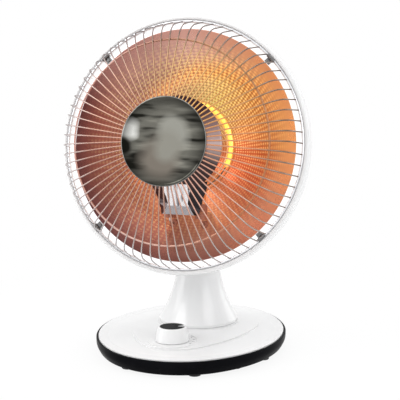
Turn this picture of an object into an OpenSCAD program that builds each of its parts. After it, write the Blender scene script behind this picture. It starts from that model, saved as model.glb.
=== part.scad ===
// Tabletop carbon heater: a guarded dish on a tilting head, a swinging neck and an oval base.
// Millimetres. +Z is up, the heater faces -Y, the origin is on the floor under the middle of the base.

/* [Base] */
// Width of the base pan, left to right
base_w = 215; // [205:1:225]
// Depth of the base pan, front to back
base_d = 256.2; // [246.2:1:266.2]
// Height of the seam between the pan and its cover
seam_h = 19; // [18.5:0.5:22]
// Rise of the cover's crown above the seam
crown_rise = 7.5; // [6.5:0.5:9]
// Height of the rubber feet under the pan
foot_h = 3; // [2:0.5:3.5]
// Diameter of a rubber foot
foot_d = 14; // [10:1:16]
// Wall of the moulded plastic shells
wall = 2.5; // [2:0.1:2.8]
// Height of the step round the raised island
island_step = 1.6; // [0.8:0.2:2.4]
// Thickness of the steel ballast ring
ballast_t = 7; // [4:0.5:7]

/* [Neck] */
// Distance of the neck's axis behind the middle of the base
neck_back = 23.4; // [18:0.2:28]
// Diameter of the neck's foot
neck_foot_d = 92; // [90:1:98]
// Diameter of the neck under its shoulder
neck_top_d = 48.6; // [46:0.2:56]
// Height of the tilt axis above the floor
tilt_h = 131.4; // [130:0.2:140]
// Distance of the neck's shoulder below the tilt axis
shoulder_drop = 26.4; // [24:0.2:33]
// Distance of the tilt axis behind the neck's axis
tilt_back = 5.3; // [3:0.1:7]
// Width of the neck's knuckle between the ears
knuckle_w = 24; // [20:1:26]
// Diameter of the tilt bolt
bolt_d = 6; // [5:0.5:8]

/* [Swing drive] */
// Distance from the neck's axis to the crank's axis
crank_reach = 26; // [25.8:0.1:26.4]
// Throw of the crank pin
crank_throw = 11; // [9.5:0.1:11]
// Diameter of the crank pin
crank_pin_d = 3.5; // [3:0.1:4]
// Play on each side of the pin in its slot
slot_play = 0.85; // [0.8:0.05:1]

/* [Knob] */
// Distance of the knob's axis behind the front edge of the base
knob_in = 61.5; // [58:0.5:65]
// Diameter of the knob at its foot
knob_d = 38; // [34:1:42]
// Height of the knob
knob_h = 15.6; // [14:0.2:18]
// Diameter of the knob's black cap
cap_d = 27.6; // [24:0.2:28]

/* [Head] */
// Lean of the head back from upright, at rest
head_lean = 9.3; // [6:0.1:12]
// Outer diameter of the front rim
rim_d = 286; // [284:1:292]
// Depth of the rim's skirt
rim_skirt = 14; // [12:0.5:16]
// Depth of the rear housing behind the guard ring
housing_depth = 92; // [90:1:98]
// Diameter of the housing's flat back
back_d = 104; // [96:1:112]
// Distance from the middle of the guard ring's wire out to the rim's outer face
rim_band = 6.6; // [6.5:0.1:7]
// Width of the dish's flange inside the middle of the guard ring's wire
flange_w = 8.4; // [8:0.1:11]
// Depth of the dish
dish_depth = 70.4; // [68:0.2:71]
// Diameter of the flat middle of the dish
dish_flat_d = 48; // [44:1:52]
// Thickness of the dish's sheet
sheet_t = 0.8; // [0.6:0.1:1]
// Distance that the rim hangs below the tilt axis
rim_drop = 48.7; // [46:0.1:49]
// Distance from the tilt axis forward to the guard ring
head_forward = 79.1; // [78.5:0.1:82]

/* [Guard] */
// Thickness of the guard ring's wire
ring_wire_d = 3.2; // [3:0.1:3.4]
// Number of radial wires
wire_count = 72; // [48:8:72]
// Thickness of a radial wire
wire_d = 1.5; // [1.2:0.1:1.8]
// Height of the wires at the edge of the centre disc
guard_rise = 56.5; // [54:0.5:60]
// Slope of the guard's side
side_slope = 75; // [73:0.5:78]
// Radius of the bend between the guard's side and front
bend_r = 24; // [20:1:28]
// Radius of the guard's domed front
dome_r = 354; // [320:2:400]
// Diameter of the centre disc
disc_d = 95.2; // [90:0.2:100]
// Distance of the middle ring inside the guard ring
middle_in = 25.8; // [25.4:0.2:36]

/* [Lamp] */
// Diameter of the lamp ring at its tube's middle
lamp_d = 98; // [96:1:104]
// Diameter of the quartz tube
tube_d = 9.5; // [9:0.1:10]
// Depth of the lamp ring behind the guard ring
lamp_depth = 25; // [23:0.5:27]
// Distance between the lamp's two straight ends
lamp_legs = 37; // [36:0.5:40]
// Diameter of the hood in front of the lamp
hood_d = 105; // [100:0.5:110]
// Height of the hood's face in front of the guard ring
hood_rise = 26; // [24:0.5:28]

/* [Hidden] */
$fn = 64;
// Number of facets that stands for a very large circle
wide_fn = 720;
// Gap between pieces that are fixed to each other
seat = 0.1;
// Gap between pieces that move past each other
pass = 0.3;
// Radial clearance of a shaft in its bore
fit = 0.05;

oval = base_d / base_w;
pan_r = base_w / 2;
pan_reach = base_d / 2;
// Distance from the middle of the base to the centres of the four arcs of its oval
arc_c = (pan_reach - pan_r) / (2 - sqrt(2));
cover_inset = 1.5;
cover_r = pan_r - cover_inset;
// Radii of the cover's dome, across and along the base
dome_across = (pow(cover_r, 2) + pow(crown_rise - 1.5, 2)) / (2 * (crown_rise - 1.5));
dome_along = (pow(pan_reach - cover_inset, 2) + pow(crown_rise - 1.5, 2)) / (2 * (crown_rise - 1.5));
floor_z = foot_h + wall;
crown_z = seam_h + crown_rise;
edge_z = seam_h + 1.5;
joint_z = floor_z + 6.5;
boss_r = 4.2;
screw_r = 1.75;
screw_rho = pan_r - 10;
screw_angles = [51, 107, 162, -51, -107, -162];
foot_rho = pan_r - foot_d;
foot_angles = [24, 78, 136, -24, -78, -136];
foot_recess = 1;
ballast_inset = 21;
ballast_width = 24;
gland_r = 3.8;
gland_z = floor_z + 5.6;

neck_foot_r = neck_foot_d / 2;
neck_top_r = neck_top_d / 2;
seat_z = crown_z + 0.4;
pad_z = seat_z - 2.3;
under_z = pad_z - wall;
shoulder_h = tilt_h - shoulder_drop;
flare_z = seat_z + 3.1;
flare_run = neck_foot_r - neck_top_r;
flare_r = (pow(flare_run, 2) + pow(shoulder_h - flare_z, 2)) / (2 * flare_run);
arm_z = pad_z + 0.6;
arm_t = 3;
disc_z = arm_z + arm_t + 0.6;
disc_t = 3;
turntable_r = flare_inner(disc_z + disc_t) - pass;
pivot_r = 9;
pivot_bore_r = 6;
hub_r = 12.4;
hub_top = disc_z + 14;
washer_t = 0.8;
ring_z = hub_top + washer_t + 0.2;
ring_t = 1.2;
pivot_top = ring_z + ring_t + 2;
crank_y = neck_back - crank_reach;
crank_arm_r = crank_pin_d / 2 + 1.5;
crank_shaft_r = 2.5;
slot_r = crank_pin_d / 2 + slot_play;
motor_r = 24.5;
motor_h = 13;
motor_offset = 9.5;
motor_y = crank_y - motor_offset;
motor_top = under_z - seat;
ear_z = motor_top - 3.5;
neck_screw_reach = 34;
neck_screw_angles = [90, 180, 270];

knob_y = knob_in - pan_reach;
knob_reach = neck_back - knob_y;
knob_pad_z = dome_z(abs(knob_y) / oval);
knob_pad_r = knob_d / 2 + 8;
knob_z = knob_pad_z + pass;
cap_z = knob_z + knob_h - 1.2;
shaft_r = 3;
bushing_r = 4.9;
switch_side = 29;
switch_h = 11;
// Way that the knob's pointer faces, from the right towards the back
pointer_angle = 27;

// The plunger stands as far in from the back edge as the knob does from the front edge
plunger_y = pan_reach - knob_in - 0.2;
plunger_r = 5;
plunger_z = 0.3;
plunger_drop = 4;
collar_z = floor_z + 2 + plunger_drop + 0.3;
collar_t = 1.4;
stem_top = collar_z + collar_t + 0.6;
tip_switch_h = 5.4;

tilt_y = neck_back + tilt_back;
knuckle_r = 13;
bolt_r = bolt_d / 2;
ear_gap = 1.1;
ear_in = knuckle_w / 2 + ear_gap;
ear_t = 5;
shoulder_r = 12;

rim_r = rim_d / 2;
head_rise = rim_r - rim_drop;
rim_wall = 2.2;
skirt_r = rim_r - rim_wall - pass;
flat_r = dish_flat_d / 2;
guard_r = rim_r - rim_band;
dish_r = guard_r - flange_w;
ring_r = ring_wire_d / 2;
flange_s = -ring_r - 0.05;
flange_r = guard_r + ring_r - 0.2;
ledge_s = flange_s - sheet_t - fit;
ledge_t = 2.2;
groove_r = guard_r + ring_r + 0.3;
bead_s = 2;
boss_ring_r = rim_r - 8.7;
housing_angles = [for (i = [0:5]) 30 + 60 * i];
clip_screw_r = dish_r + 3.6;
clip_angles = [45, 135, 225, 315];
back_s = -housing_depth;
shoulder_s = -rim_skirt - 6;
shield_gap = 6.5;
shield_t = 0.6;
shield_r = 98;
shield_stack = sheet_t + shield_gap + shield_t;
apex_s = flange_s - dish_depth;
spacer_r = 16;
spacer_angles = [90, 210, 330];
// Places of the screws that hold the hood's stay, at the hood and at the dish
stay_u = -18;
stay_holes = [[-5, stay_u + 8], [5, stay_u + 8]];
stay_t = 1.2;
stay_screw_r = 1.4;
// Angle between two vents, which leave the ears free
vent_pitch = 16.1;

wire_r = wire_d / 2;
disc_r = disc_d / 2;
dome_s = guard_rise - dome_r * cos(asin(disc_r / dome_r));
bend_reach = guard_r * sin(side_slope) - dome_s * cos(side_slope) - bend_r;
bend_a = side_slope - acos(bend_reach / (dome_r - bend_r));
bend_c = [(dome_r - bend_r) * sin(bend_a), dome_s + (dome_r - bend_r) * cos(bend_a)];
side_top = bend_c + bend_r * [sin(side_slope), cos(side_slope)];
side_foot = ring_r + wire_r * 0.2;
side_low = [side_top[0] + (side_top[1] - side_foot) / tan(side_slope), side_foot];
middle_r = guard_r - middle_in;
middle_wire_r = 1;
hub_plate_r = disc_r - 2.2;
disc_cap_s = guard_rise + wire_r + 0.2;

lamp_r = lamp_d / 2;
tube_r = tube_d / 2;
tube_wall = 1.1;
lamp_s = -lamp_depth;
leg_x = lamp_legs / 2;
leg_bend = 10;
// Angle from straight down at which the lamp ring turns out into its straight ends
leg_a = asin((leg_x + leg_bend) / (lamp_r + leg_bend));
leg_u = -(lamp_r + leg_bend) * cos(leg_a);
// Angle from straight down at which the glowing filament starts
filament_a = 66;
cap_r = tube_r + 1.7;
cap_top = leg_u - 12;
cap_low = cap_top - 17;
tube_end = cap_low + 4;
bracket_u = cap_top - 9;
bracket_t = 1.2;
bracket_w = 46;
lead_r = 1.1;
lead_bend = 6;
lead_u = cap_low - lead_bend;
bushing_outer = 4.5;
block_u = -42;
block_w = 12;
block_hole = 6.5;
hood_r = hood_d / 2;
hood_t = 1;
cover_t = 1;
stay_top = hood_rise + 2.2 - hood_t - 0.6;

function unit(v) = v / norm(v);
function turned(a) = a > 180 ? a - 360 : a < -180 ? a + 360 : a;
function arc(o, r, from, turn, n) = [for (i = [0:n]) let (a = from + turn * i / n) o + r * [cos(a), sin(a)]];

// Arc of radius r that is tangent to both sides of the corner b
function fillet(a, b, c, r) =
    let (u = unit(a - b), v = unit(c - b), half = acos(u * v) / 2, o = b + unit(u + v) * r / sin(half))
    let (p = b + u * r / tan(half) - o, q = b + v * r / tan(half) - o)
    let (from = atan2(p[1], p[0]), turn = turned(atan2(q[1], q[0]) - from))
    arc(o, r, from, turn, max(2, ceil(abs(turn) / 12)));

// Outline with a rounded corner for each [x, y, radius]
function rounded(c) = [for (i = [0:len(c) - 1])
    let (n = len(c), a = c[(i + n - 1) % n], b = c[i], d = c[(i + 1) % n])
    each b[2] > 0 ? fillet([a[0], a[1]], [b[0], b[1]], [d[0], d[1]], b[2]) : [[b[0], b[1]]]];

function dome_z(rho) = crown_z - (crown_z - edge_z) * pow(rho / cover_r, 2);
function oval_at(rho, angle) = [rho * sin(angle), -rho * oval * cos(angle)];
function flare_at(z, grow) = neck_top_r + flare_r - sqrt(pow(flare_r + grow, 2) - pow(shoulder_h - z, 2));
function flare_inner(z) = flare_at(z, wall);
function dish_s(r) = r < flat_r ? apex_s
    : flange_s - dish_depth * (1 - (r * r - flat_r * flat_r) / (dish_r * dish_r - flat_r * flat_r));
function dish_pitch(r) = r < flat_r ? 0 : 2 * dish_depth * r / (dish_r * dish_r - flat_r * flat_r);
function dish_under(r, t) = dish_s(r) - t * sqrt(1 + pow(dish_pitch(r), 2));
function dish_curve(from, to, t, n) =
    [for (i = [0:n]) let (r = from + (to - from) * i / n) [r, dish_under(r, t)]];
function back_to_front(points) = [for (i = [len(points) - 1:-1:0]) points[i]];

// Four quarter turns that carry a profile round the oval, whose X is measured from the outline. Each
// shift is made in a coarse and a fine step, so that the quarters meet exactly.
module oval_turn(points) {
    coarse = round(arc_c * 1000) / 1000;
    fine = arc_c - coarse;
    for (k = [0:3]) let (side = k % 2 == 0 ? -1 : 1, reach = k % 2 == 0 ? pan_r : pan_reach)
        rotate([0, 0, 90 * k]) translate([side * coarse, 0, 0]) translate([side * fine, 0, 0])
            rotate_extrude(angle = 90, start = -45, $fn = 120) translate([reach, 0])
                translate([-side * coarse, 0]) translate([-side * fine, 0]) polygon(points);
}

// Oval of four arcs, set in from the base's outline
module oval_plan(inset) {
    side_r = pan_r + arc_c - inset;
    end_r = pan_reach - arc_c - inset;
    intersection() {
        translate([-arc_c, 0]) circle(side_r, $fn = wide_fn);
        translate([arc_c, 0]) circle(side_r, $fn = wide_fn);
        square([base_w, 2 * (arc_c + end_r * sqrt(0.5) - 2)], center = true);
    }
    for (end = [-1, 1]) translate([0, end * arc_c]) circle(end_r, $fn = wide_fn);
}

// Long egg with its round end behind the neck and its nose round the knob
module island_plan() {
    nose_r = 45;
    back_r = 71;
    nose_c = knob_reach + 28 - nose_r;
    side_c = (pow(nose_c, 2) - pow(back_r - nose_r, 2)) / (2 * (back_r - nose_r));
    side_r = back_r + side_c;
    low = nose_c + nose_r * nose_c / norm([side_c, nose_c]) - 1;
    translate([0, neck_back]) {
        circle(back_r, $fn = wide_fn);
        translate([0, -nose_c]) circle(nose_r, $fn = 180);
        intersection() {
            translate([-side_c, 0]) circle(side_r, $fn = wide_fn);
            translate([side_c, 0]) circle(side_r, $fn = wide_fn);
            translate([-back_r, -low]) square([2 * back_r, low + 0.5]);
        }
    }
}

// Everything under a shallow dome, curved more across the base than along it
module under_dome(crown) {
    translate([0, 0, crown - dome_along]) rotate([0, -90, 0])
        rotate_extrude(angle = 14, start = -7, $fn = wide_fn) intersection() {
            translate([dome_along - dome_across, 0]) circle(dome_across, $fn = wide_fn);
            translate([dome_along - 18, -base_w / 2]) square([20, base_w]);
        }
}

// Places the head: local Z is the dish's axis, pointing forward, and local Y is up across its face
module in_head() {
    translate([0, tilt_y, tilt_h]) rotate([90 - head_lean, 0, 0])
        translate([0, head_rise, head_forward]) children();
}

module spread(angles) {
    for (a = angles) rotate([0, 0, a]) children();
}

module pan_head_screw(shank_r, head_r, head_t, length) {
    rotate_extrude() polygon(rounded([[0, -head_t, 0], [head_r, -head_t, head_t * 0.6], [head_r, 0, 0],
        [shank_r, 0, 0], [shank_r, length - shank_r, 0], [0, length, 0]]));
}

module hex_nut(across, t, bore_r) {
    difference() {
        cylinder(d = across / cos(30), h = t, $fn = 6);
        translate([0, 0, -1]) cylinder(r = bore_r, h = t + 2);
    }
}

module base_pan() {
    color("#161616") difference() {
        union() {
            oval_turn(rounded([[-18, foot_h, 0], [-4.5, foot_h, 5], [0, foot_h + 8.5, 12], [0, seam_h, 0.6],
                [-wall, seam_h, 0], [-wall, foot_h + 9, 9], [-6.5, floor_z, 4], [-18, floor_z, 0]]));
            translate([0, 0, foot_h]) linear_extrude(wall) oval_plan(16);
            for (a = screw_angles) translate(concat(oval_at(screw_rho, a), foot_h))
                cylinder(r = boss_r, h = joint_z - foot_h);
            translate([0, plunger_y, foot_h]) cylinder(r = plunger_r + 2.6, h = floor_z + 2 - foot_h);
            for (side = [-1, 1]) translate([side * 11 - 2, plunger_y - 4, floor_z - 0.5])
                cube([4, 8, stem_top + seat - floor_z + 0.5]);
        }
        for (a = screw_angles) translate(concat(oval_at(screw_rho, a), 0)) {
            cylinder(r = screw_r + 0.2, h = joint_z + 1);
            cylinder(r = boss_r - 0.6, h = foot_h + 2.6);
        }
        for (a = foot_angles) translate(concat(oval_at(foot_rho, a), 0))
            cylinder(d = foot_d + 0.3, h = foot_h + foot_recess);
        translate([0, plunger_y, 0]) cylinder(r = plunger_r + 0.15, h = floor_z + 3);
        translate([0, pan_reach - wall * 4, gland_z]) rotate([-90, 0, 0])
            cylinder(r = gland_r + seat, h = wall * 6);
    }
}

module base_cover() {
    color("#f2f2f2") difference() {
        union() {
            difference() {
                union() {
                    intersection() {
                        translate([0, 0, seam_h + seat]) linear_extrude(12) oval_plan(cover_inset);
                        under_dome(crown_z - island_step);
                    }
                    translate([0, 0, seam_h - 3]) linear_extrude(4.2) oval_plan(wall + pass);
                    intersection() {
                        translate([0, 0, seam_h]) linear_extrude(12) island_plan();
                        under_dome(crown_z);
                    }
                    translate([0, neck_back, seam_h]) cylinder(r = neck_foot_r + 1.5, h = seat_z - seam_h);
                }
                intersection() {
                    translate([0, 0, seam_h - 4]) linear_extrude(14) oval_plan(wall * 2 + pass);
                    under_dome(crown_z - island_step - wall);
                }
                translate([0, neck_back, seam_h - 4])
                    cylinder(r = neck_foot_r - wall, h = under_z - seam_h + 4);
                translate([0, knob_y, knob_pad_z - 0.6]) cylinder(r = knob_pad_r, h = 5);
                translate([0, motor_y, seam_h - 4]) cylinder(r = motor_r + 0.6, h = under_z - seam_h + 4);
            }
            translate([0, knob_y, knob_pad_z - wall - 1.2]) cylinder(r = knob_pad_r + 0.1, h = wall + 1.2);
            translate([0, neck_back, under_z]) cylinder(r = pivot_r, h = pivot_top - under_z);
            translate([0, neck_back, under_z]) cylinder(r = pivot_r + 2.5, h = disc_z - pass / 3 - under_z);
            for (a = screw_angles) translate(concat(oval_at(screw_rho, a), joint_z + seat))
                cylinder(r = boss_r, h = dome_z(screw_rho) - island_step * 0.5 - 1.2 - joint_z);
            for (side = [-1, 1]) translate([side * (motor_r + 5), motor_y, ear_z + seat])
                cylinder(r = 3.4, h = under_z - ear_z + 1);
        }
        difference() {
            translate([0, neck_back, pad_z]) cylinder(r = neck_foot_r - wall - 0.8, h = seat_z - pad_z + 1);
            translate([0, neck_back, pad_z - 1]) cylinder(r = pivot_r + 2.5, h = seat_z - pad_z + 3);
        }
        translate([0, neck_back, under_z - 1]) cylinder(r = pivot_bore_r, h = pivot_top - under_z + 2);
        translate([0, neck_back, ring_z]) difference() {
            cylinder(r = pivot_r + 1, h = ring_t + seat * 2);
            translate([0, 0, -1]) cylinder(r = pivot_r - 0.9, h = ring_t + 3);
        }
        translate([0, crank_y, under_z - 1]) cylinder(r = crank_shaft_r + 1.5, h = wall + 2);
        translate([0, knob_y, knob_pad_z - wall * 3]) cylinder(r = bushing_r + seat, h = wall * 4);
        translate([-switch_side / 2 - 1, knob_y - switch_side / 2 - 1, seam_h - 4])
            cube([switch_side + 2, switch_side + 2, knob_pad_z - wall - seam_h + 4]);
        for (a = screw_angles) translate(concat(oval_at(screw_rho, a), joint_z - 1))
            cylinder(r = screw_r + fit, h = 5.5);
        for (side = [-1, 1]) translate([side * (motor_r + 5), motor_y, ear_z - 1])
            cylinder(r = 1.3 + fit, h = 4.5);
    }
}

module rubber_feet() {
    color("#1d1d1d") for (a = foot_angles) translate(concat(oval_at(foot_rho, a), 0))
        rotate_extrude() polygon(rounded([[0, 0, 0], [foot_d / 2, 0, 1],
            [foot_d / 2, foot_h + foot_recess - fit, 0], [0, foot_h + foot_recess - fit, 0]]));
}

module base_screws() {
    color("silver") for (a = screw_angles) translate(concat(oval_at(screw_rho, a), foot_h + 2.6 - fit))
        pan_head_screw(screw_r, boss_r - 0.9, 1.8, joint_z + 3.5 - foot_h - 2.6);
}

module ballast_ring() {
    color("#55585c") translate([0, 0, floor_z + fit]) linear_extrude(ballast_t) difference() {
        oval_plan(ballast_inset);
        oval_plan(ballast_inset + ballast_width);
    }
}

module rotary_switch() {
    top = knob_pad_z - wall - seat;
    color("#2b2b2b") difference() {
        union() {
            translate([-switch_side / 2, knob_y - switch_side / 2, top - switch_h]) linear_extrude(switch_h)
                polygon(rounded([[0, 0, 3], [switch_side, 0, 3], [switch_side, switch_side, 3],
                    [0, switch_side, 3]]));
            translate([0, knob_y, top - 1]) cylinder(r = bushing_r, h = wall + 5.5);
            for (i = [-2:2]) translate([i * 5 - 2, knob_y - 9, top - switch_h - 3]) cube([4, 0.8, 3.5]);
        }
        translate([0, knob_y, top - switch_h + 2]) cylinder(r = shaft_r + fit, h = switch_h + wall + 6);
    }
}

module switch_nut() {
    color("silver") translate([0, knob_y, knob_pad_z + fit]) hex_nut(14, 2.4, bushing_r + fit);
}

module switch_shaft() {
    color("#d8d8d8") translate([0, knob_y, knob_pad_z - wall - switch_h + 2.5])
        cylinder(r = shaft_r, h = cap_z - 1.2 - (knob_pad_z - wall - switch_h + 2.5));
}

module pointer_wedge(play) {
    rotate([0, 0, pointer_angle]) linear_extrude(1.2)
        polygon([[6.4 - play * 2, 0], [cap_d / 2 + 0.4, -2.6 - play], [cap_d / 2 + 0.4, 2.6 + play]]);
}

module knob() {
    color("#f4f4f4") translate([0, knob_y, 0]) difference() {
        translate([0, 0, knob_z]) rotate_extrude() polygon(rounded([[0, 0, 0], [knob_d / 2, 0, 0.6],
            [cap_d / 2 + 1.9, knob_h, 1.2], [0, knob_h, 0]]));
        translate([0, 0, knob_z - 1]) cylinder(r1 = knob_d / 2 - 2, r2 = knob_d / 2 - 3.2, h = 8);
        translate([0, 0, knob_z]) cylinder(r = shaft_r + fit, h = knob_h - 2.2);
        difference() {
            translate([0, 0, cap_z]) cylinder(d = cap_d, h = 3);
            translate([0, 0, cap_z - 0.1]) pointer_wedge(0);
        }
    }
}

module knob_cap() {
    color("#101010") translate([0, knob_y, cap_z + fit]) difference() {
        cylinder(d = cap_d - seat * 2, h = 0.8);
        translate([0, 0, -0.2]) pointer_wedge(seat);
    }
}

module tip_plunger() {
    color("#c9c9c9") translate([0, plunger_y, plunger_z]) rotate_extrude() polygon(rounded([[0, 0, 0],
        [plunger_r, 0, 1], [plunger_r, collar_z - plunger_z, 0], [plunger_r + 2, collar_z - plunger_z, 0],
        [plunger_r + 2, collar_z + collar_t - plunger_z, 0.5], [2, collar_z + collar_t - plunger_z, 0],
        [2, stem_top - plunger_z, 0.8], [0, stem_top - plunger_z, 0]]));
}

module tip_switch() {
    color("#2a2a2a") translate([-14, plunger_y - 5, stem_top + seat * 2]) difference() {
        linear_extrude(tip_switch_h) polygon(rounded([[0, 0, 1], [28, 0, 1], [28, 10, 1], [0, 10, 1]]));
        for (x = [3.5, 24.5]) translate([x, -1, tip_switch_h / 2]) rotate([-90, 0, 0])
            cylinder(r = 1.2, h = 12);
    }
}

module cord_gland() {
    inside = wall + 4;
    color("#1a1a1a") translate([0, pan_reach + seat, gland_z]) rotate([-90, 0, 0]) difference() {
        union() {
            translate([0, 0, -inside]) cylinder(r = gland_r, h = inside + 0.5);
            cylinder(r1 = gland_r + 2.2, r2 = gland_r + 1.2, h = 2.4);
        }
        translate([0, 0, -inside - 1]) cylinder(r = gland_r - 1.2, h = inside + 5);
    }
}

module swing_motor() {
    color("#b9bcc0") difference() {
        union() {
            translate([0, motor_y, motor_top - motor_h]) rotate_extrude()
                polygon(rounded([[0, 0, 0], [motor_r, 0, 1.5], [motor_r, motor_h, 1.5], [0, motor_h, 0]]));
            for (side = [-1, 1]) translate([0, motor_y, ear_z - 1.2]) linear_extrude(1.2)
                polygon([[side * (motor_r - 3), -6], [side * (motor_r + 5), -3.6],
                    [side * (motor_r + 8.4), 0], [side * (motor_r + 5), 3.6], [side * (motor_r - 3), 6]]);
        }
        translate([0, crank_y, motor_top - 9]) cylinder(r = crank_shaft_r + fit, h = 12);
        for (side = [-1, 1]) translate([side * (motor_r + 5), motor_y, ear_z - 3]) cylinder(r = 1.5, h = 5);
    }
}

module motor_screws() {
    color("silver") for (side = [-1, 1]) translate([side * (motor_r + 5), motor_y, ear_z - 1.2 - fit])
        pan_head_screw(1.3, 2.6, 1.4, 4.4);
}

module swing_crank() {
    color("#d9d4c8") translate([0, crank_y, 0]) {
        translate([0, 0, motor_top - 8.5]) cylinder(r = crank_shaft_r, h = arm_z - motor_top + 9);
        translate([0, 0, arm_z]) linear_extrude(arm_t) union() {
            circle(5.4);
            translate([0, -crank_throw]) circle(crank_arm_r);
            polygon([[-5.3, 0], [5.3, 0], [crank_arm_r - 0.1, -crank_throw],
                [0.1 - crank_arm_r, -crank_throw]]);
        }
        translate([0, -crank_throw, arm_z + arm_t - 0.1]) cylinder(d = crank_pin_d, h = disc_t + 2);
    }
}

module turntable() {
    color("#d9d9d6") translate([0, neck_back, 0]) difference() {
        union() {
            translate([0, 0, disc_z]) cylinder(r = turntable_r, h = disc_t);
            translate([0, 0, disc_z]) cylinder(r = hub_r, h = hub_top - disc_z);
            for (a = [30, 150]) rotate([0, 0, a]) translate([hub_r - 1, -1, disc_z])
                cube([turntable_r - hub_r - 4, 2, disc_t + 4]);
        }
        translate([0, 0, disc_z - 1]) cylinder(r = pivot_r + fit, h = hub_top - disc_z + 2);
        translate([0, -crank_reach, disc_z - 1]) linear_extrude(disc_t + 2) union() {
            for (end = [-1, 1]) translate([0, end * crank_throw]) circle(slot_r);
            square([2 * slot_r, 2 * crank_throw], center = true);
        }
        spread(neck_screw_angles) translate([0, -neck_screw_reach, disc_z - 1])
            cylinder(r = 1.7, h = disc_t + 2);
    }
}

module neck_screws() {
    color("silver") translate([0, neck_back, disc_z - fit]) spread(neck_screw_angles)
        translate([0, -neck_screw_reach, 0]) pan_head_screw(1.5, 3, 1.5, disc_t + 8);
}

module thrust_washer() {
    color("#e6e2d2") translate([0, neck_back, hub_top + fit]) difference() {
        cylinder(r = pivot_r + 4, h = washer_t);
        translate([0, 0, -1]) cylinder(r = pivot_r + seat, h = washer_t + 2);
    }
}

module snap_ring() {
    color("#3c3f44") translate([0, neck_back, ring_z + seat]) difference() {
        cylinder(r = pivot_r + 3.4, h = ring_t);
        translate([0, 0, -1]) cylinder(r = pivot_r - 0.8, h = ring_t + 2);
        translate([-5, 0, -1]) cube([10, pivot_r + 6, ring_t + 2]);
    }
}

module flare_profile(grow, low, top) {
    difference() {
        translate([0, low]) square([neck_foot_r - grow, top - low]);
        translate([neck_top_r + flare_r, shoulder_h]) circle(flare_r + grow, $fn = wide_fn);
    }
}

module neck_column() {
    color("#f3f3f3") difference() {
        union() {
            translate([0, neck_back, 0]) rotate_extrude() union() {
                flare_profile(0, flare_z, shoulder_h);
                translate([0, seat_z + pass]) square([neck_foot_r, flare_z - seat_z - pass]);
                translate([0, shoulder_h]) square([neck_top_r - shoulder_r, shoulder_r]);
                intersection() {
                    translate([neck_top_r - shoulder_r, shoulder_h]) circle(shoulder_r);
                    translate([0, shoulder_h - 0.01]) square([neck_top_r, shoulder_r + 1]);
                }
            }
            translate([-knuckle_w / 2, tilt_y - knuckle_r, shoulder_h - 6])
                cube([knuckle_w, knuckle_r * 2, tilt_h - shoulder_h + 6]);
            translate([-knuckle_w / 2, tilt_y, tilt_h]) rotate([0, 90, 0])
                cylinder(r = knuckle_r, h = knuckle_w);
        }
        difference() {
            translate([0, neck_back, 0]) rotate_extrude() union() {
                flare_profile(wall, flare_z - 0.01, shoulder_h - 6);
                translate([0, seat_z]) square([neck_foot_r - wall, flare_z - seat_z]);
            }
            translate([0, neck_back, 0]) spread(neck_screw_angles)
                translate([-4, -neck_foot_r, disc_z + disc_t + fit])
                    cube([8, neck_foot_r - neck_screw_reach + 4, 12]);
        }
        translate([0, neck_back, disc_z + disc_t - 1]) spread(neck_screw_angles)
            translate([0, -neck_screw_reach, 0]) cylinder(r = 1.5 + fit, h = 9.5);
        translate([-knuckle_w, tilt_y, tilt_h]) rotate([0, 90, 0])
            cylinder(r = bolt_r + fit, h = knuckle_w * 2);
        translate([0, neck_back - neck_top_r + 6, shoulder_h - 10]) cylinder(r = 4.5, h = 40);
    }
}

function housing_outline(grow) = rounded([[0, back_s + grow, 0], [back_d / 2 + 4 - grow, back_s + grow, 12],
    [skirt_r - 3 - grow * 0.4, shoulder_s + grow * 0.4, 14], [skirt_r - grow, -rim_skirt + 2, 0],
    [skirt_r - grow, -5, 0], [0, -5, 0]]);

module ear(side) {
    s_in = [-head_rise - 19, -head_forward + 40.6];
    x = side > 0 ? ear_in : -ear_in - ear_t;
    translate([x, 0, 0]) rotate([90, 0, 90]) linear_extrude(ear_t) difference() {
        union() {
            translate([-head_rise, -head_forward]) circle(knuckle_r);
            polygon([[-head_rise - knuckle_r * 0.77, -head_forward + knuckle_r * 0.64], s_in,
                [-head_rise + 31, -head_forward - 3.6],
                [-head_rise + knuckle_r * 0.77, -head_forward - knuckle_r * 0.64]]);
        }
        translate([-head_rise, -head_forward]) circle(bolt_r + fit);
    }
}

module rear_housing() {
    color("#efefef") in_head() difference() {
        union() {
            difference() {
                rotate_extrude() polygon(housing_outline(0));
                rotate_extrude() polygon(concat(housing_outline(wall), [[0, 0]]));
                translate([0, 0, -5.5]) cylinder(r = skirt_r - wall, h = 2);
            }
            for (side = [-1, 1]) ear(side);
            intersection() {
                spread(housing_angles) translate([boss_ring_r, 0, shoulder_s - 3])
                    cylinder(r = 4.2, h = -12.3 - shoulder_s + 3);
                rotate_extrude() polygon(housing_outline(0.4));
            }
        }
        spread(housing_angles) translate([boss_ring_r, 0, shoulder_s - 12]) {
            cylinder(r = 1.7, h = 20);
            cylinder(r = 3.3, h = 11);
        }
        spread([for (i = [0:20]) 289 + i * vent_pitch]) vent_slot(70, 88);
        spread([for (i = [0:20]) 289 + i * vent_pitch]) vent_slot(97, 119);
    }
}

// Rounded slot through the housing's cone
module vent_slot(from, to) {
    translate([from, 0, back_s - 1]) linear_extrude(housing_depth - 8) union() {
        circle(2);
        translate([0, -2]) square([to - from, 4]);
        translate([to - from, 0]) circle(2);
    }
}

module housing_screws() {
    color("silver") in_head() spread(housing_angles) translate([boss_ring_r, 0, shoulder_s - 1 - fit])
        pan_head_screw(1.45, 3, 1.4, -shoulder_s - 7);
}

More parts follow.
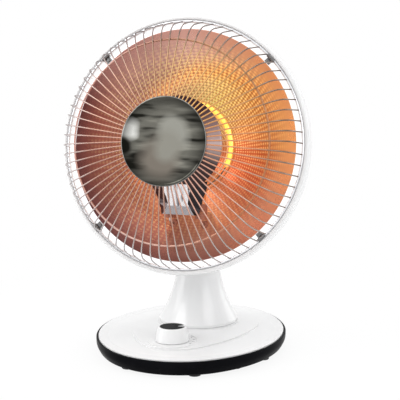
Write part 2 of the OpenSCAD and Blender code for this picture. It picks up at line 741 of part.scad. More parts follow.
module front_rim() {
    color("#f5f5f5") in_head() difference() {
        union() {
            rotate_extrude() polygon(rounded([[dish_r + 0.5, ledge_s, 0.8], [groove_r, ledge_s, 0],
                [groove_r, bead_s, 1.5], [rim_r, bead_s, 2.6], [rim_r, -rim_skirt, 0.6],
                [rim_r - rim_wall, -rim_skirt, 0], [rim_r - rim_wall, ledge_s - ledge_t, 0],
                [dish_r + 0.5, ledge_s - ledge_t, 0.8]]));
            spread(housing_angles) translate([boss_ring_r, 0, -12.1])
                cylinder(r = 3.6, h = 12.1 + ledge_s - 0.5);
        }
        spread(housing_angles) translate([boss_ring_r, 0, -14]) cylinder(r = 1.45 + fit, h = 9);
        spread(clip_angles) translate([clip_screw_r, 0, ledge_s - ledge_t - 1])
            cylinder(r = 1.3 + fit, h = ledge_t + 2);
    }
}

module reflector() {
    color("#d98a52") in_head() difference() {
        rotate_extrude() polygon(concat([[0, apex_s], [flat_r, apex_s]],
            dish_curve(flat_r + 3, dish_r, 0, 26),
            [[flange_r, flange_s], [flange_r, flange_s - sheet_t], [dish_r + 1.2, flange_s - sheet_t]],
            back_to_front(dish_curve(flat_r + 3, dish_r - 0.4, sheet_t, 26)),
            [[flat_r, apex_s - sheet_t], [0, apex_s - sheet_t]]));
        spread(clip_angles) translate([clip_screw_r, 0, flange_s - 2]) cylinder(r = 1.5, h = 3);
        spread(spacer_angles) translate([spacer_r, 0, apex_s - 2]) cylinder(r = 2, h = 4);
        for (at = stay_holes) translate(concat(at, apex_s - 2)) cylinder(r = stay_screw_r + fit, h = 4);
        for (side = [-1, 1]) translate([side * leg_x, lead_u, apex_s])
            cylinder(r = bushing_outer + seat, h = dish_depth);
        for (side = [-1, 1])
            translate([side * (bracket_w / 2 - 5) - 3.2, bracket_u - bracket_t - 0.2, apex_s])
                cube([6.4, bracket_t + 0.4, dish_depth - 10]);
    }
}

module heat_shield() {
    hole_r = 9.5;
    front_s = apex_s - sheet_t - shield_gap;
    color("#a9adb1") in_head() difference() {
        rotate_extrude() polygon(concat([[hole_r, front_s], [flat_r, front_s]],
            dish_curve(flat_r + 3, shield_r, sheet_t + shield_gap, 14),
            back_to_front(dish_curve(flat_r + 3, shield_r, shield_stack, 14)),
            [[flat_r, front_s - shield_t], [hole_r, front_s - shield_t]]));
        spread(spacer_angles) translate([spacer_r, 0, apex_s - 12]) cylinder(r = 2, h = 8);
        for (side = [-1, 1]) translate([side * leg_x, lead_u, apex_s - 20])
            cylinder(r = bushing_outer + 1.5, h = dish_depth);
        for (side = [-1, 1]) translate([side * leg_x - 4, lead_u, apex_s - 20]) cube([8, 16, 60]);
    }
}

module shield_spacers() {
    color("#c8cbce") in_head() spread(spacer_angles)
        translate([spacer_r, 0, apex_s - sheet_t - shield_gap + fit]) difference() {
        cylinder(r = 4, h = shield_gap - 2 * fit);
        translate([0, 0, -1]) cylinder(r = 2, h = shield_gap + 2);
    }
}

module shield_screws() {
    color("silver") in_head() spread(spacer_angles) translate([spacer_r, 0, apex_s + fit]) rotate([180, 0, 0])
        pan_head_screw(1.8, 3.4, 1.6, shield_stack + 4);
}

module shield_nuts() {
    color("silver") in_head() spread(spacer_angles) translate([spacer_r, 0, apex_s]) rotate([180, 0, 0])
        translate([0, 0, shield_stack + fit]) hex_nut(7, 2.4, 1.8 + fit);
}

module thermal_cutout() {
    color("#3a332c") in_head() translate([0, 0, apex_s - sheet_t - fit]) rotate([180, 0, 0]) union() {
        cylinder(r = 7.8, h = 5.4);
        translate([0, 0, 5.3]) cylinder(r = 6, h = 1.6);
        for (side = [-1, 1]) translate([side * 4 - 0.4, -2.4, 6.5]) cube([0.8, 4.8, 3.4]);
    }
}

module terminal_block() {
    color("#ece7da") in_head() translate([0, 0, back_s + wall + fit]) difference() {
        translate([-24, block_u, 0]) cube([48, block_w, 10.5]);
        for (side = [-1, 1]) translate([side * leg_x, block_u - 2, block_hole]) rotate([-90, 0, 0])
            cylinder(r = 1.9, h = block_w + 4);
        for (x = [-leg_x, -6, 6, leg_x]) translate([x, block_u + block_w / 2, block_hole - 1])
            cylinder(r = 1.8, h = 8);
    }
}

module guard_ring() {
    color("#e4e4e4") in_head() rotate_extrude() translate([guard_r, 0]) circle(ring_r, $fn = 20);
}

// One radial wire: a straight side, the bend, and the dome up to the hub, with a ball in each joint
module guard_wire() {
    dome_end = asin((hub_plate_r - 5) / dome_r);
    ball_r = wire_r * 1.03;
    union() {
        translate([side_top[0], 0, side_top[1]]) sphere(ball_r, $fn = 14);
        translate([dome_r * sin(bend_a), 0, dome_s + dome_r * cos(bend_a)]) sphere(ball_r, $fn = 14);
        translate([side_low[0], 0, side_low[1]]) rotate([0, side_slope - 90, 0])
            cylinder(r = wire_r, h = norm(side_top - side_low), $fn = 14);
        translate([bend_c[0], 0, bend_c[1]]) rotate([90, 0, 0]) rotate([0, 0, 90 - side_slope])
            rotate_extrude(angle = side_slope - bend_a) translate([bend_r, 0]) circle(wire_r, $fn = 14);
        translate([0, 0, dome_s]) rotate([90, 0, 0]) rotate([0, 0, 90 - bend_a])
            rotate_extrude(angle = bend_a - dome_end, $fn = 180)
                translate([dome_r, 0]) circle(wire_r, $fn = 14);
    }
}

module guard_wires() {
    color("#e9e4e2") in_head() for (i = [0:wire_count - 1])
        rotate([0, 0, 360 * (i + 0.5) / wire_count]) guard_wire();
}

module middle_ring() {
    along = asin(middle_r / dome_r);
    inner = dome_r - wire_r - middle_wire_r - fit;
    color("#e2dedc") in_head() translate([0, 0, dome_s + inner * cos(along)]) rotate_extrude()
        translate([inner * sin(along), 0]) circle(middle_wire_r, $fn = 16);
}

module guard_hub() {
    inner = dome_r - wire_r - fit;
    low = dome_s + sqrt(inner * inner - hub_plate_r * hub_plate_r);
    color("#b4b6b8") in_head() difference() {
        translate([0, 0, low - 1.4]) cylinder(r = hub_plate_r, h = 1.4);
        translate([0, 0, low - 3]) cylinder(r = 2, h = 6);
    }
}

module centre_disc() {
    crown = 1.6;
    flat_end = disc_r - 3.4;
    face = [for (i = [0:12]) let (r = flat_end * i / 12) [r, 1.5 + crown * (1 - pow(r / flat_end, 2)), i < 12 ? 0 : 3]];
    back = [for (i = [12:-1:0]) let (r = flat_end * i / 12) [r, 0.6 + crown * (1 - pow(r / flat_end, 2)), i < 12 ? 0 : 2]];
    color("#8f9290") in_head() translate([0, 0, disc_cap_s]) rotate_extrude() polygon(rounded([each face,
        [disc_r - 1.6, 1.9, 1], [disc_r, 1.3, 0.9], [disc_r, 0, 0], [disc_r - 0.9, 0, 0],
        [disc_r - 1.6, 0.9, 0.5], each back]));
}

// Spring clip: a narrow stem on the flange, and a wide foot arched over the guard ring
module guard_clips() {
    clip_t = 0.7;
    clip_w = 9.8;
    over = ring_r + fit + 0.2;
    color("#4a4d50") in_head() spread(clip_angles) difference() {
        union() {
            translate([0, clip_w / 2, 0]) rotate([90, 0, 0]) linear_extrude(clip_w) intersection() {
                translate([guard_r, 0]) difference() {
                    circle(over + clip_t);
                    circle(over);
                }
                translate([guard_r, 0]) polygon([[-8, flange_s + fit], [0, flange_s + fit], [0, 0], [1.5, 0],
                    [1.5, 8], [-8, 8]]);
            }
            translate([dish_r + 1, -3.4, flange_s + fit])
                cube([guard_r - over - dish_r - 1 - 0.2, 6.8, clip_t]);
            translate([guard_r - over - clip_t, -clip_w / 2, flange_s + fit])
                cube([clip_t, clip_w, clip_t * 2]);
        }
        translate([clip_screw_r, 0, flange_s - 1]) cylinder(r = 1.5, h = 4);
    }
}

module clip_screws() {
    color("#6b6e72") in_head() spread(clip_angles) translate([clip_screw_r, 0, flange_s + 0.7 + 2 * fit])
        rotate([180, 0, 0]) pan_head_screw(1.3, 2.1, 1.2, 5);
}

module hood() {
    color("#8d8a8c") in_head() difference() {
        rotate_extrude() polygon(rounded([[0, hood_rise + 2.2, 0], [hood_r - 14, hood_rise + 1.6, 14],
            [hood_r, hood_rise - 5, 1.2], [hood_r, hood_rise - 8, 0], [hood_r - hood_t, hood_rise - 8, 0],
            [hood_r - hood_t, hood_rise - 5.8, 1], [hood_r - 14.4, hood_rise + 1.6 - hood_t, 14],
            [0, hood_rise + 2.2 - hood_t, 0]]));
        translate([-17.4, -hood_r - 5, hood_rise - 12]) cube([34.8, 14, 20]);
        for (at = stay_holes) translate(concat(at, stay_top)) cylinder(r = stay_screw_r + 0.2, h = 10);
    }
}

// Strip that stands on the flat of the dish and carries the hood
module hood_stay() {
    color("#9a9da0") in_head() difference() {
        union() {
            translate([-8, stay_u, apex_s + fit]) cube([16, stay_t, stay_top - apex_s - fit]);
            translate([-8, stay_u, apex_s + fit]) cube([16, 12, stay_t]);
            translate([-10, stay_u, stay_top - stay_t]) cube([20, 14, stay_t]);
        }
        for (at = stay_holes) translate(concat(at, apex_s - 1))
            cylinder(r = stay_screw_r + fit, h = stay_top - apex_s + 2);
    }
}

module hood_screws() {
    hood_s = hood_rise + 2.2 - 0.6 * norm(stay_holes[0]) / (hood_r - 14) + fit;
    color("silver") in_head() for (at = stay_holes) {
        translate(concat(at, hood_s)) rotate([180, 0, 0]) pan_head_screw(stay_screw_r, 2.6, 1.3, 5);
        translate(concat(at, apex_s + stay_t + 2 * fit)) rotate([180, 0, 0])
            pan_head_screw(stay_screw_r, 2.6, 1.3, 5);
    }
}

// Walls of the lead cover as [height across the face, front, half width there, back, half width there]
cover_steps = [[-39, 14, 19, 4.5, 33.4], [-46, 10.4, 17, 0.6, 32], [-58, 5, 12.8, -4.2, 26.8],
    [-64.5, 2.6, 11.4, -5.2, 24.6], [-70, 0.6, 14.4, -6.2, 23.2], [-76.5, -0.6, 18.4, -5, 21.8]];

function cover_ring(c) = [[-c[4], c[0], c[3]], [-c[2], c[0], c[1]], [c[2], c[0], c[1]], [c[4], c[0], c[3]],
    [c[4] - cover_t * 1.2, c[0], c[3] - cover_t], [c[2] - cover_t * 0.4, c[0], c[1] - cover_t],
    [-c[2] + cover_t * 0.4, c[0], c[1] - cover_t], [-c[4] + cover_t * 1.2, c[0], c[3] - cover_t]];

// Skin over rings of points that all have as many points
function loft_faces(rings, n) = concat(
    [for (k = [0:rings - 2]) for (i = [0:n - 1]) let (a = k * n + i, b = k * n + (i + 1) % n)
        each [[a, b, b + n], [a, b + n, a + n]]],
    [for (q = [[0, 1, 6, 7], [1, 2, 5, 6], [2, 3, 4, 5]]) each [[q[2], q[1], q[0]], [q[3], q[2], q[0]]]],
    [for (q = [[0, 1, 6, 7], [1, 2, 5, 6], [2, 3, 4, 5]]) let (m = (rings - 1) * n)
        each [[m + q[0], m + q[1], m + q[2]], [m + q[0], m + q[2], m + q[3]]]]);

module lead_cover() {
    color("#cfcfd2") in_head() polyhedron(points = [for (c = cover_steps) each cover_ring(c)],
        faces = loft_faces(len(cover_steps), 8), convexity = 6);
}

module lamp_bracket() {
    low = dish_s(norm([bracket_w / 2, bracket_u]));
    color("#8b8e91") in_head() difference() {
        union() {
            difference() {
                translate([-bracket_w / 2, bracket_u - bracket_t, apex_s])
                    cube([bracket_w, bracket_t, -7.4 - apex_s]);
                rotate_extrude() polygon(concat(
                    [[0, apex_s - 5], [0, apex_s + pass], [flat_r, apex_s + pass]],
                    [for (p = dish_curve(flat_r + 3, dish_r, 0, 26)) [p[0], p[1] + pass]],
                    [[dish_r, apex_s - 5]]));
            }
            for (side = [-1, 1]) translate([side * (bracket_w / 2 - 5) - 3, bracket_u - bracket_t, low - 3.4])
                cube([6, bracket_t, 5]);
        }
        for (side = [-1, 1]) translate([side * leg_x, bracket_u + 1, lamp_s]) rotate([90, 0, 0])
            cylinder(r = cap_r + seat, h = 4);
    }
}

// Open ring that turns out into two straight ends, with a ball in each joint
module lamp_line(r, low) {
    ball_r = r * 1.02;
    translate([0, 0, lamp_s]) union() {
        rotate([0, 0, leg_a - 90]) rotate_extrude(angle = 360 - 2 * leg_a)
            translate([lamp_r, 0]) circle(r, $fn = 32);
        for (side = [0, 1]) mirror([side, 0, 0]) {
            translate([lamp_r * sin(leg_a), -lamp_r * cos(leg_a), 0]) sphere(ball_r, $fn = 32);
            translate([leg_x + leg_bend, leg_u, 0]) rotate([0, 0, 90 + leg_a])
                rotate_extrude(angle = 90 - leg_a) translate([leg_bend, 0]) circle(r, $fn = 32);
            translate([leg_x, leg_u, 0]) sphere(ball_r, $fn = 32);
            translate([leg_x, leg_u, 0]) rotate([90, 0, 0]) cylinder(r = r, h = leg_u - low, $fn = 32);
        }
    }
}

module lamp_tube() {
    color("#ffd9a0", 0.5) in_head() difference() {
        lamp_line(tube_r, tube_end);
        lamp_line(tube_r - tube_wall, tube_end - 1);
    }
}

// Carbon coil on its carrier discs, with a bare lead through each end of the tube
module lamp_filament() {
    color("#ffb347") in_head() union() {
        lamp_line(0.8, cap_low + 3.6);
        translate([0, 0, lamp_s]) rotate([0, 0, filament_a - 90]) rotate_extrude(angle = 360 - 2 * filament_a)
            translate([lamp_r, 0]) circle(2.4, $fn = 24);
        for (a = [-150, -90, -30, 30, 90, 150]) rotate([0, 0, 90 + a * 0.74]) translate([lamp_r, 0, lamp_s])
            rotate([90, 0, 0]) cylinder(r = tube_r - tube_wall - fit, h = 1, center = true);
    }
}

module lamp_caps() {
    color("#ece6d8") in_head() for (side = [-1, 1])
        translate([side * leg_x, cap_top, lamp_s]) rotate([90, 0, 0]) difference() {
            cylinder(r = cap_r, h = cap_top - cap_low);
            translate([0, 0, -1]) cylinder(r = tube_r + fit, h = cap_top - tube_end + 1 + fit);
            cylinder(r = lead_r + fit, h = 30);
        }
}

module lead_bushings() {
    length = 10;
    low = dish_s(norm([leg_x, lead_u])) - 8;
    color("#ece6d8") in_head() for (side = [-1, 1]) translate([side * leg_x, lead_u, low]) difference() {
        cylinder(r = bushing_outer, h = length);
        translate([0, 0, -1]) cylinder(r = lead_r + 0.15, h = length + 2);
    }
}

module lamp_leads() {
    crimp_s = dish_s(norm([leg_x, lead_u])) - 15;
    color("#d8d2c0") in_head() for (side = [-1, 1]) translate([side * leg_x, 0, 0]) union() {
        translate([0, cap_low + 3.5, lamp_s]) rotate([90, 0, 0]) cylinder(r = lead_r, h = 3.5);
        translate([0, cap_low, lamp_s - lead_bend]) rotate([90, 0, -90]) rotate([0, 0, 90]) mirror([0, 1, 0])
            rotate_extrude(angle = 90) translate([lead_bend, 0]) circle(lead_r);
        translate([0, lead_u, crimp_s]) cylinder(r = lead_r, h = lamp_s - lead_bend - crimp_s);
        translate([0, lead_u, crimp_s]) cylinder(r = lead_r + 0.8, h = 6);
    }
}

module tilt_bolt() {
    length = ear_in + ear_t;
    color("#b8babd") translate([0, tilt_y, tilt_h]) rotate([0, 90, 0]) union() {
        translate([0, 0, -length - 7]) cylinder(r = bolt_r, h = 2 * length + 7.1);
        translate([0, 0, length + fit]) cylinder(d = 10 / cos(30), h = 4, $fn = 6);
    }
}

module tilt_nut() {
    color("#b8babd") translate([-ear_in - ear_t - fit, tilt_y, tilt_h]) rotate([0, -90, 0])
        hex_nut(10, 5, bolt_r + fit);
}

module tilt_washers() {
    color("#5a5d60") for (side = [-1, 1])
        translate([side * (knuckle_w + ear_gap) / 2, tilt_y, tilt_h]) rotate([0, 90, 0]) difference() {
            cylinder(r = 10, h = ear_gap - 0.2, center = true);
            cylinder(r = bolt_r + 0.1, h = ear_gap + 2, center = true);
        }
}

base_pan();
base_cover();
rubber_feet();
base_screws();
ballast_ring();
rotary_switch();
switch_nut();
tip_switch();
cord_gland();
swing_motor();
motor_screws();
thrust_washer();
snap_ring();
knob();
knob_cap();
switch_shaft();
tip_plunger();
swing_crank();
turntable();
neck_screws();
neck_column();
rear_housing();
housing_screws();
front_rim();
reflector();
heat_shield();
shield_spacers();
shield_screws();
shield_nuts();
thermal_cutout();
terminal_block();
guard_ring();
guard_wires();
middle_ring();
guard_hub();
centre_disc();
guard_clips();
clip_screws();
hood();
hood_stay();
hood_screws();
lead_cover();
lamp_bracket();
lamp_tube();
lamp_filament();
lamp_caps();
lead_bushings();
lamp_leads();
tilt_bolt();
tilt_nut();
tilt_washers();
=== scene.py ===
import math

import bpy
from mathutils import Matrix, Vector


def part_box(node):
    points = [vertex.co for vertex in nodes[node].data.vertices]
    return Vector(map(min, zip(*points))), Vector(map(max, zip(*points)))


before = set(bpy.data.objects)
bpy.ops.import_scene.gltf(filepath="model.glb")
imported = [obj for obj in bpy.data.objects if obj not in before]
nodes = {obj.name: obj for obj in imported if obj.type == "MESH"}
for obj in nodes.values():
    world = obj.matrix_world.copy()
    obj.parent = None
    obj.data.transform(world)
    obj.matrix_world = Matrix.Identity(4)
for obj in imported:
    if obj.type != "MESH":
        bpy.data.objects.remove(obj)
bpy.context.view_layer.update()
print("frame loaded:", len(nodes), "nodes")

# The photograph's camera, in degrees, metres and millimetres of lens
camera = {
    "azimuth": 18.61,
    "elevation": 8.53,
    "distance": 1.20017,
    "lens": 93.05,
    "sensor": 36,
    "target": (0.00195, 0.0234, 0.16815),
    "clip": (0.05, 20),
}


# Azimuth runs from the heater's front toward its right
def viewDirection(azimuth, elevation):
    a = math.radians(azimuth)
    e = math.radians(elevation)
    return Vector((math.sin(a) * math.cos(e), -math.cos(a) * math.cos(e), math.sin(e)))


def makeCamera(look):
    data = bpy.data.cameras.new("photoCamera")
    data.lens = look["lens"]
    data.sensor_width = look["sensor"]
    data.clip_start, data.clip_end = look["clip"]
    eye = bpy.data.objects.new("photoCamera", data)
    bpy.context.scene.collection.objects.link(eye)
    back = viewDirection(look["azimuth"], look["elevation"])
    eye.rotation_mode = "QUATERNION"
    eye.rotation_quaternion = (-back).to_track_quat("-Z", "Y")
    eye.location = Vector(look["target"]) + back * look["distance"]
    bpy.context.scene.camera = eye


makeCamera(camera)
print("camera placed")


def newMaterial(name):
    mat = bpy.data.materials.new(name)
    mat.use_nodes = True
    tree = mat.node_tree
    return mat, tree, tree.nodes["Principled BSDF"]


def addNode(tree, kind, **values):
    node = tree.nodes.new(kind)
    for key, value in values.items():
        setattr(node, key, value)
    return node


# Colours are written with three numbers, and their sockets take four
def setInputs(node, values):
    for key, value in values.items():
        socket = node.inputs[key]
        if socket.type == "RGBA":
            value = (*value, 1)
        socket.default_value = value


# Either links a socket or sets a number or colour
def feed(tree, socket, value):
    if isinstance(value, bpy.types.NodeSocket):
        tree.links.new(value, socket)
    else:
        socket.default_value = (*value, 1) if socket.type == "RGBA" else value


def placeOf(tree, output="Object"):
    return addNode(tree, "ShaderNodeTexCoord").outputs[output]


def splitOf(tree, vector):
    parts = addNode(tree, "ShaderNodeSeparateXYZ")
    tree.links.new(vector, parts.inputs["Vector"])
    return parts.outputs


# A grain is its scale, its detail and how far it is stretched along each axis
def noiseOf(tree, grain, vector=None):
    scale, detail, stretch = grain
    mapping = addNode(tree, "ShaderNodeMapping")
    mapping.inputs["Scale"].default_value = stretch
    tree.links.new(vector or placeOf(tree), mapping.inputs["Vector"])
    noise = addNode(tree, "ShaderNodeTexNoise")
    setInputs(noise, {"Scale": scale, "Detail": detail})
    tree.links.new(mapping.outputs["Vector"], noise.inputs["Vector"])
    return noise


# Most of a noise lies between these two
noiseEnds = (0.3, 0.7)


def rangeOf(tree, source, low, high, fromLow=noiseEnds[0], fromHigh=noiseEnds[1]):
    node = addNode(tree, "ShaderNodeMapRange")
    setInputs(node, {"From Min": fromLow, "From Max": fromHigh, "To Min": low, "To Max": high})
    tree.links.new(source, node.inputs["Value"])
    return node.outputs["Result"]


def rampOf(tree, source, stops, smooth=True):
    node = addNode(tree, "ShaderNodeValToRGB")
    ramp = node.color_ramp
    ramp.interpolation = "EASE" if smooth else "LINEAR"
    while len(ramp.elements) < len(stops):
        ramp.elements.new(0.5)
    for element, (place, colour) in zip(ramp.elements, stops):
        element.position = place
        element.color = (*colour, 1)
    tree.links.new(source, node.inputs["Fac"])
    return node.outputs["Color"]


# A colour that wanders from one to the other with a noise
def wanderOf(tree, noise, first, second):
    return rampOf(tree, noise.outputs["Fac"], list(zip(noiseEnds, (first, second))))


def mixOf(tree, factor, first, second):
    node = addNode(tree, "ShaderNodeMix", data_type="RGBA")
    tree.links.new(factor, node.inputs["Factor"])
    feed(tree, node.inputs[6], first)  # 6, 7 and 2 are the node's colour sockets
    feed(tree, node.inputs[7], second)
    return node.outputs[2]


def mathOf(tree, operation, *values):
    node = addNode(tree, "ShaderNodeMath", operation=operation)
    for socket, value in zip(node.inputs, values):
        feed(tree, socket, value)
    return node.outputs["Value"]


# A length or a dot product is a number, and the rest are vectors
def vectorOf(tree, operation, first, second=None, scale=None):
    node = addNode(tree, "ShaderNodeVectorMath", operation=operation)
    feed(tree, node.inputs[0], first)
    if second is not None:
        feed(tree, node.inputs[1], second)
    if scale is not None:
        node.inputs["Scale"].default_value = scale
    return node.outputs["Value" if operation in ("LENGTH", "DOT_PRODUCT") else "Vector"]


def setRoughness(tree, shader, noise, ends):
    tree.links.new(rangeOf(tree, noise.outputs["Fac"], *ends), shader.inputs["Roughness"])


# One for rays from the camera and for those that metal and glass send on, so that they show the background
def seenShare(tree):
    path = addNode(tree, "ShaderNodeLightPath")
    mirrored = mathOf(tree, "MAXIMUM", path.outputs["Is Glossy Ray"], path.outputs["Is Transmission Ray"])
    return mathOf(tree, "MAXIMUM", path.outputs["Is Camera Ray"], mirrored)


# What a plain finish has unless it says otherwise
plainLook = {"grain": 40, "detail": 4, "stretch": (1, 1, 1), "wander": 1.04, "roughWander": (0.9, 1.1),
             "bumpDetail": 2, "set": {}}


# A surface whose colour and gloss wander a little, so that it isn't one flat value
def plainMaterial(name, finish):
    look = {**plainLook, **finish}
    mat, tree, shader = newMaterial(name)
    noise = noiseOf(tree, (look["grain"], look["detail"], look["stretch"]))
    dark = look["colour"]
    light = tuple(min(1, c * look["wander"]) for c in dark)
    tree.links.new(wanderOf(tree, noise, dark, light), shader.inputs["Base Color"])
    setRoughness(tree, shader, noise, [look["rough"] * share for share in look["roughWander"]])
    setInputs(shader, look["set"])
    if "bump" in look:
        scale, strength, distance = look["bump"]
        fine = noiseOf(tree, (scale, look["bumpDetail"], look["stretch"]))
        node = addNode(tree, "ShaderNodeBump")
        setInputs(node, {"Strength": strength, "Distance": distance})
        tree.links.new(fine.outputs["Fac"], node.inputs["Height"])
        tree.links.new(node.outputs["Normal"], shader.inputs["Normal"])
    return mat


finishes = {
    "whitePlastic": {"colour": (0.84, 0.84, 0.84), "rough": 0.22, "wander": 1.02, "grain": 12,
                     "set": {"Coat Weight": 0.35, "Coat Roughness": 0.08, "IOR": 1.5}},
    # The same white plastic, made darker as painted shade on the rear housing
    "shadedShellPlastic": {"colour": (0.74, 0.74, 0.745), "rough": 0.26, "wander": 1.02, "grain": 12,
                     "set": {"Coat Weight": 0.25, "Coat Roughness": 0.12, "IOR": 1.5}},
    "blackPlastic": {"colour": (0.004, 0.004, 0.005), "rough": 0.3, "wander": 1.4, "grain": 30,
                     "set": {"IOR": 1.07}, "bump": (900, 0.05, 0.0004)},
    "bearingPlastic": {"colour": (0.66, 0.63, 0.55), "rough": 0.45, "wander": 1.05},
    "switchPlastic": {"colour": (0.02, 0.02, 0.022), "rough": 0.5, "wander": 1.3},
    "footRubber": {"colour": (0.013, 0.013, 0.014), "rough": 0.75, "wander": 1.4, "bump": (700, 0.2, 0.0004)},
    "dullSheet": {"colour": (0.55, 0.55, 0.56), "rough": 0.32, "wander": 1.06, "stretch": (1, 6, 1),
                  "set": {"Metallic": 1.0}},
    "guardChrome": {"colour": (0.86, 0.83, 0.82), "rough": 0.2, "set": {"Metallic": 1.0}},
    "ringChrome": {"colour": (0.80, 0.80, 0.82), "rough": 0.28, "wander": 1.05, "set": {"Metallic": 1.0}},
    "brightSteel": {"colour": (0.6, 0.6, 0.61), "rough": 0.3, "wander": 1.08, "set": {"Metallic": 1.0}},
    "darkSteel": {"colour": (0.11, 0.115, 0.12), "rough": 0.35, "wander": 1.15, "set": {"Metallic": 1.0}},
    "clipSteel": {"colour": (0.19, 0.185, 0.185), "rough": 0.35, "wander": 1.1, "set": {"Metallic": 1.0}},
    "lampCeramic": {"colour": (0.42, 0.15, 0.09), "rough": 0.6, "wander": 1.06, "bump": (600, 0.15, 0.0003)},
    "ceramic": {"colour": (0.74, 0.70, 0.60), "rough": 0.6, "wander": 1.06, "bump": (600, 0.15, 0.0003)},
}
materials = {name: plainMaterial(name, finish) for name, finish in finishes.items()}
print("plain finishes made:", len(materials))


def middleOf(node):
    low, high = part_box(node)
    return (low + high) / 2


# The middles of the guard's two rings lie on the dish's axis, which leans back
dishMiddle = middleOf("guard_ring")
dishAxis = middleOf("middle_ring") - dishMiddle
headLean = math.atan2(dishAxis.z, -dishAxis.y)
print("dish found, leaning back by", round(math.degrees(headLean), 2), "degrees")


# Coordinates across the dish: X to its right, Y up its face, Z out along its axis
def headSpace(tree):
    flat = addNode(tree, "ShaderNodeMapping", vector_type="TEXTURE")
    flat.inputs["Location"].default_value = dishMiddle
    flat.inputs["Rotation"].default_value = (math.pi / 2 - headLean, 0, 0)
    tree.links.new(placeOf(tree), flat.inputs["Vector"])
    return flat.outputs["Vector"]


# Share of a full turn round the dish's axis, from its right over its top
def turnOf(tree, vector):
    wheel = addNode(tree, "ShaderNodeTexGradient", gradient_type="RADIAL")
    tree.links.new(vector, wheel.inputs["Vector"])
    return mathOf(tree, "FRACT", mathOf(tree, "ADD", wheel.outputs["Fac"], 0.5))  # it starts at the left


# Distance from the dish's axis
def reachOf(tree, vector):
    parts = splitOf(tree, vector)
    face = addNode(tree, "ShaderNodeCombineXYZ")
    tree.links.new(parts["X"], face.inputs["X"])
    tree.links.new(parts["Y"], face.inputs["Y"])
    return vectorOf(tree, "LENGTH", face.outputs["Vector"])


# Metal mirrors the white background, so "mirror" in its look says what share of its tones is left
def setMetal(tree, shader, tone, look):
    tree.links.new(vectorOf(tree, "SCALE", tone, scale=look["mirror"]), shader.inputs["Base Color"])
    setInputs(shader, {"Metallic": 1.0})


discLook = {
    "streakGrain": (1.0, 3.0, (14, 85, 1)),
    "streaks": [(0.36, (0.03,) * 3), (0.5, (0.5,) * 3), (0.64, (0.97,) * 3)],
    "light": (0.74, 0.72, 0.62),
    "dark": (0.016, 0.016, 0.012),
    # Soft patches of painted reflection: the fourth is a painted highlight and the fifth a painted dark spot
    "patches": [
        {"at": (0.012, 0.009), "from": 0.021, "to": 0.010, "colour": (0.78, 0.77, 0.68)},
        {"at": (-0.003, -0.020), "from": 0.029, "to": 0.014, "colour": (0.50, 0.44, 0.37)},
        {"at": (0.005, -0.006), "from": 0.020, "to": 0.008, "colour": (0.70, 0.68, 0.59)},
        {"at": (-0.038, 0.011), "from": 0.014, "to": 0.006, "colour": (2.1, 2.1, 2.0)},
        {"at": (-0.046, -0.008), "from": 0.011, "to": 0.006, "colour": (0.03, 0.03, 0.025)},
    ],
    "ripple": 0.016,
    "rippleGrain": (34, 2, (0.6, 1, 1.3)),
    "rim": {"from": 0.0466, "to": 0.0471, "colour": (0.50, 0.50, 0.48)},
    # Painted shade towards the disc's edge and over its very centre
    "edge": {"from": 0.030, "to": 0.046, "share": 0.75},
    "crown": {"from": 0.0003, "to": 0.0009, "share": 0.5},
    "mirror": 0.45,
    "rough": (0.10, 0.16),
}


# The disc's tones are a painted reflection of the room: dark and light streaks, soft pale patches with a
# painted highlight, and painted shade towards its edge
def makeDiscMaterial(look):
    mat, tree, shader = newMaterial("discChrome")
    space = headSpace(tree)
    reach = reachOf(tree, space)
    noise = noiseOf(tree, look["streakGrain"], space)
    tone = mixOf(tree, rampOf(tree, noise.outputs["Fac"], look["streaks"]), look["dark"], look["light"])
    wave = noiseOf(tree, look["rippleGrain"])
    ripple = vectorOf(tree, "SCALE", wave.outputs["Color"], scale=look["ripple"])
    bent = vectorOf(tree, "ADD", space, ripple)
    middle = look["ripple"] / 2  # the noise averages one half
    for patch in look["patches"]:
        shift = addNode(tree, "ShaderNodeMapping")
        shift.inputs["Location"].default_value = (-patch["at"][0] - middle, -patch["at"][1] - middle, 0)
        tree.links.new(bent, shift.inputs["Vector"])
        near = rangeOf(tree, reachOf(tree, shift.outputs["Vector"]), 0, 1, patch["from"], patch["to"])
        tone = mixOf(tree, near, tone, patch["colour"])
    edge, crown, rim = look["edge"], look["crown"], look["rim"]
    outside = rangeOf(tree, reach, 0, edge["share"], edge["from"], edge["to"])
    inside = rangeOf(tree, reach, crown["share"], 0, crown["from"], crown["to"])
    tone = mixOf(tree, inside, mixOf(tree, outside, tone, look["dark"]), look["dark"])
    tone = mixOf(tree, rangeOf(tree, reach, 0, 1, rim["from"], rim["to"]), tone, rim["colour"])
    setMetal(tree, shader, tone, look)
    setRoughness(tree, shader, noise, look["rough"])
    return mat


materials["discChrome"] = makeDiscMaterial(discLook)
